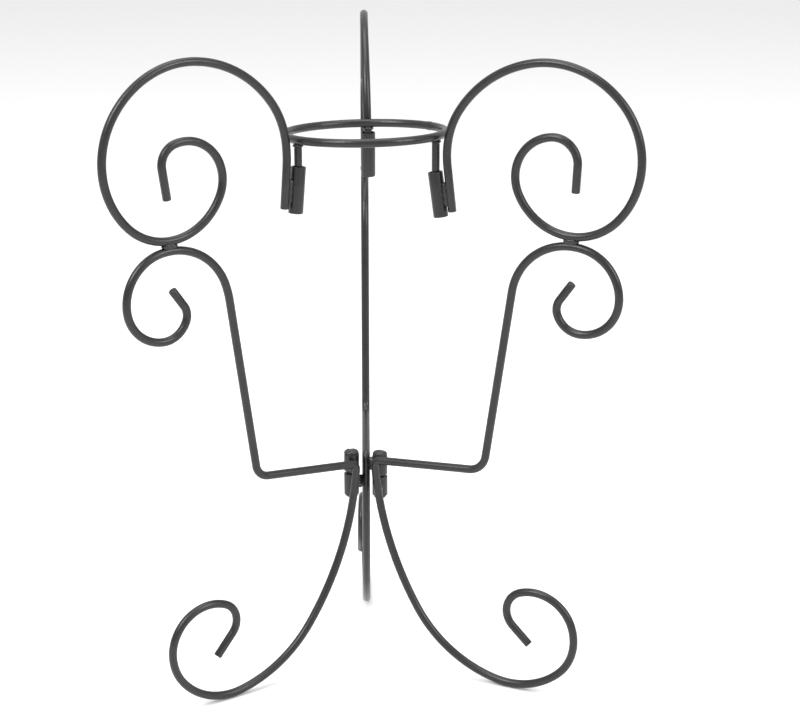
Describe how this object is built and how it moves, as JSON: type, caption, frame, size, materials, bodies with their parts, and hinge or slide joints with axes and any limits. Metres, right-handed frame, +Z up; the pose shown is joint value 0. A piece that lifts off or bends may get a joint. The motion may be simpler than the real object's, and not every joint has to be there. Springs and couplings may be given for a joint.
{
  "type": "folding wire mug tree",
  "caption": "Black steel-wire mug tree: scrolled panels hinged at the foot, held open by a lift-off ring whose pegs drop into sleeves.",
  "frame": {"origin": "middle of the bounding box's bottom, on the surface the stand rests on", "axes": "+Z up along the stand's axis, +Y towards the back panel, +X to the right seen from the front"},
  "size_m": [0.301, 0.2776, 0.3907],
  "materials": {
    "wire_paint": "black satin paint on round steel wire",
    "tube_paint": "black satin paint on steel tube and pins",
    "weld_paint": "black paint over small rough weld beads"
  },
  "bodies": {
    "back_panel": {"back_frame_wire": "wire_paint", "back_upper_scroll": "wire_paint", "back_ring_sleeve": "tube_paint", "back_scroll_weld": "weld_paint", "back_sleeve_weld": "weld_paint", "left_lower_knuckle": "tube_paint", "left_lower_knuckle_weld": "weld_paint", "left_hinge_pin": "tube_paint", "right_upper_knuckle": "tube_paint", "right_upper_knuckle_weld": "weld_paint", "right_hinge_pin": "tube_paint"},
    "left_panel": {"left_frame_wire": "wire_paint", "left_upper_scroll": "wire_paint", "left_ring_sleeve": "tube_paint", "left_scroll_weld": "weld_paint", "left_sleeve_weld": "weld_paint", "left_upper_knuckle": "tube_paint", "left_upper_knuckle_weld": "weld_paint"},
    "right_panel": {"right_frame_wire": "wire_paint", "right_upper_scroll": "wire_paint", "right_ring_sleeve": "tube_paint", "right_scroll_weld": "weld_paint", "right_sleeve_weld": "weld_paint", "right_lower_knuckle": "tube_paint", "right_lower_knuckle_weld": "weld_paint"},
    "ring": {"ring": "wire_paint", "ring_peg_left": "tube_paint", "ring_peg_weld_left": "weld_paint", "ring_peg_right": "tube_paint", "ring_peg_weld_right": "weld_paint", "ring_peg_back": "tube_paint", "ring_peg_weld_back": "weld_paint"}
  },
  "joints": [
    {"name": "fold_left", "type": "hinge", "parent": "back_panel", "child": "left_panel", "pos_m": [-0.01447, -0.03442, 0.124], "axis": [0, 0, -1], "range_deg": [0, 120]},
    {"name": "fold_right", "type": "hinge", "parent": "back_panel", "child": "right_panel", "pos_m": [0.00303, -0.03316, 0.1203], "axis": [0, 0, 1], "range_deg": [0, 120]},
    {"name": "ring_lift", "type": "slide", "parent": "back_panel", "child": "ring", "axis": [0, 0, 1], "range_m": [0, 0.401]}
  ],
  "couplings": [
    {"joint": "fold_right", "follows": "fold_left", "ratio": 1},
    {"joint": "ring_lift", "follows": "fold_left", "m_per_rad": 0.19099}
  ]
}
